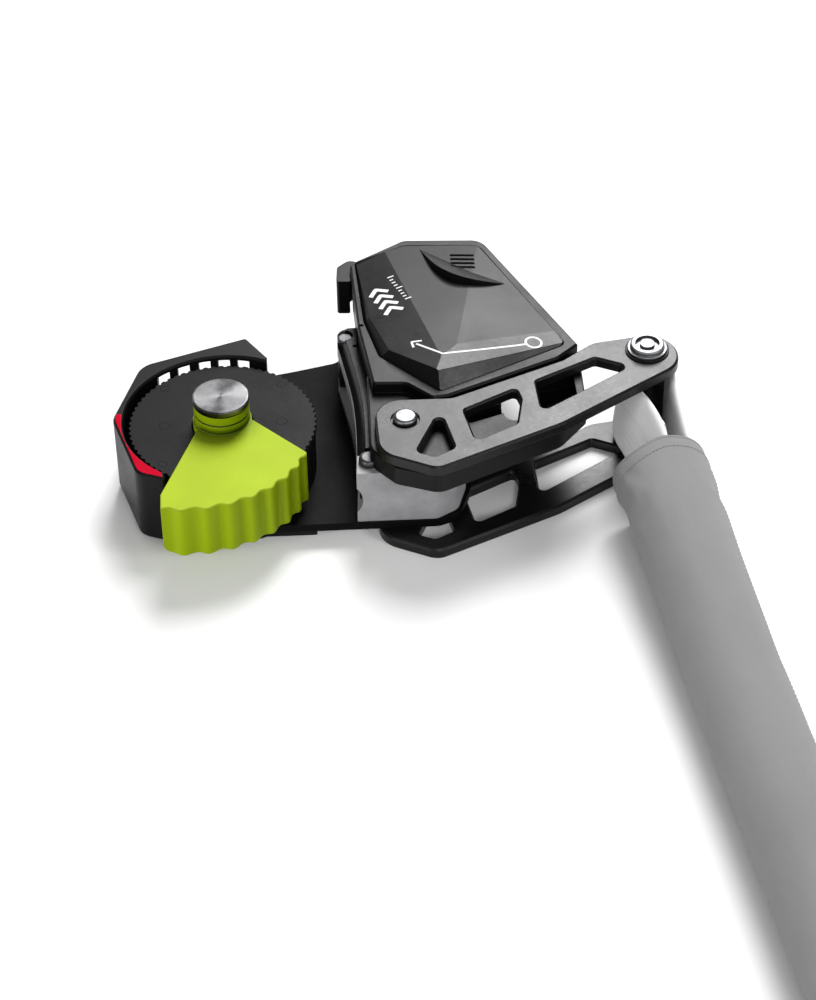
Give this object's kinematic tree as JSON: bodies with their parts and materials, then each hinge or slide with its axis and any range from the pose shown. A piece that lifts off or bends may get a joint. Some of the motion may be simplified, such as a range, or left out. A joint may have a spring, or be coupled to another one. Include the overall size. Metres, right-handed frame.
{
  "type": "rope-grab ascender",
  "caption": "Guided rope-grab ascender: serrated rope wheel, fluted locking cam, jaw and covered housing, pivoting arms bolted to a sleeved lanyard absorber.",
  "frame": {"origin": "axis of the rope wheel, in the plane of the back, on the rear end of the axle", "axes": "+Z out of the front cover, +Y up the rope, +X from the wheel towards the lanyard bolt"},
  "size_m": [0.1874, 0.3264, 0.0362],
  "materials": {
    "anodised_black": "black anodised, satin",
    "guard_black": "moulded, fine texture",
    "housing_black": "moulded, fine texture",
    "cover_black": "moulded, satin",
    "wheel_grey": "hard anodised, matt",
    "cam_green": "lime anodised, satin",
    "steel_bright": "turned",
    "jaw_cast": "bead blasted",
    "spring_steel": "drawn wire",
    "bronze": "machined",
    "marker_red": "gloss",
    "spacer_black": "satin",
    "webbing_white": "woven webbing",
    "sleeve_grey": "coated woven fabric"
  },
  "bodies": {
    "frame": {"base_plate": "anodised_black", "wheel_guard": "guard_black", "red_marker": "marker_red", "guard_screws": "steel_bright", "axle_pin": "steel_bright", "axle_nut": "steel_bright", "thrust_washers": "bronze", "steel_jaw": "jaw_cast", "jaw_post": "steel_bright", "jaw_stud": "steel_bright", "jaw_screws": "steel_bright", "housing_shell": "housing_black", "housing_screws": "steel_bright", "cover_panel": "cover_black", "thumb_pad": "cover_black", "latch_pin": "steel_bright", "pivot_pin": "steel_bright", "pivot_washers": "bronze", "arm_spring": "spring_steel"},
    "wheel": {"wheel_disc": "wheel_grey", "wheel_drum": "wheel_grey", "wheel_bush": "bronze", "wheel_rivets": "wheel_grey", "pawl_pin_a": "wheel_grey", "pawl_pin_b": "wheel_grey", "pawl_spring_a": "spring_steel", "pawl_spring_b": "spring_steel"},
    "pawl_a": {"pawl_a": "steel_bright"},
    "pawl_b": {"pawl_b": "steel_bright"},
    "cam": {"locking_cam": "cam_green", "cam_bush": "bronze", "cam_return_spring": "spring_steel"},
    "latch": {"latch_hook": "housing_black"},
    "arms": {"arm_front": "anodised_black", "arm_rear": "anodised_black", "attachment_bolt": "steel_bright", "bolt_washer": "spacer_black", "bolt_nut": "steel_bright", "spacer_bush": "spacer_black"},
    "absorber": {"webbing_loop": "webbing_white", "absorber_sleeve": "sleeve_grey", "absorber_eye": "webbing_white"}
  },
  "joints": [
    {"name": "wheel_spin", "type": "hinge", "parent": "frame", "child": "wheel", "pos_m": [0, 0, 0.014], "axis": [0, 0, 1], "continuous": true},
    {"name": "pawl_a_swing", "type": "hinge", "parent": "wheel", "child": "pawl_a", "pos_m": [0.016, 0, 0.012], "axis": [0, 0, -1], "range_deg": [0, 6], "stiffness_Nm_per_rad": 0.01},
    {"name": "pawl_b_swing", "type": "hinge", "parent": "wheel", "child": "pawl_b", "pos_m": [-0.016, 0, 0.012], "axis": [0, 0, -1], "range_deg": [0, 6], "stiffness_Nm_per_rad": 0.01},
    {"name": "cam_swing", "type": "hinge", "parent": "frame", "child": "cam", "pos_m": [0, 0, 0.016], "axis": [0, 0, 1], "range_deg": [0, 60], "stiffness_Nm_per_rad": 0.02},
    {"name": "latch_swing", "type": "hinge", "parent": "frame", "child": "latch", "pos_m": [0.0395, 0.057, 0.0265], "axis": [0, 0, 1], "range_deg": [0, 15], "stiffness_Nm_per_rad": 0.02},
    {"name": "arm_swing", "type": "hinge", "parent": "frame", "child": "arms", "pos_m": [0.0492, -0.0135, 0.016], "axis": [0, 0, -1], "range_deg": [0, 30], "stiffness_Nm_per_rad": 0.2},
    {"name": "absorber_swing", "type": "hinge", "parent": "arms", "child": "absorber", "pos_m": [0.1168, 0.0121, 0.016], "axis": [0, 0, 1], "range_deg": [-15, 100]}
  ]
}
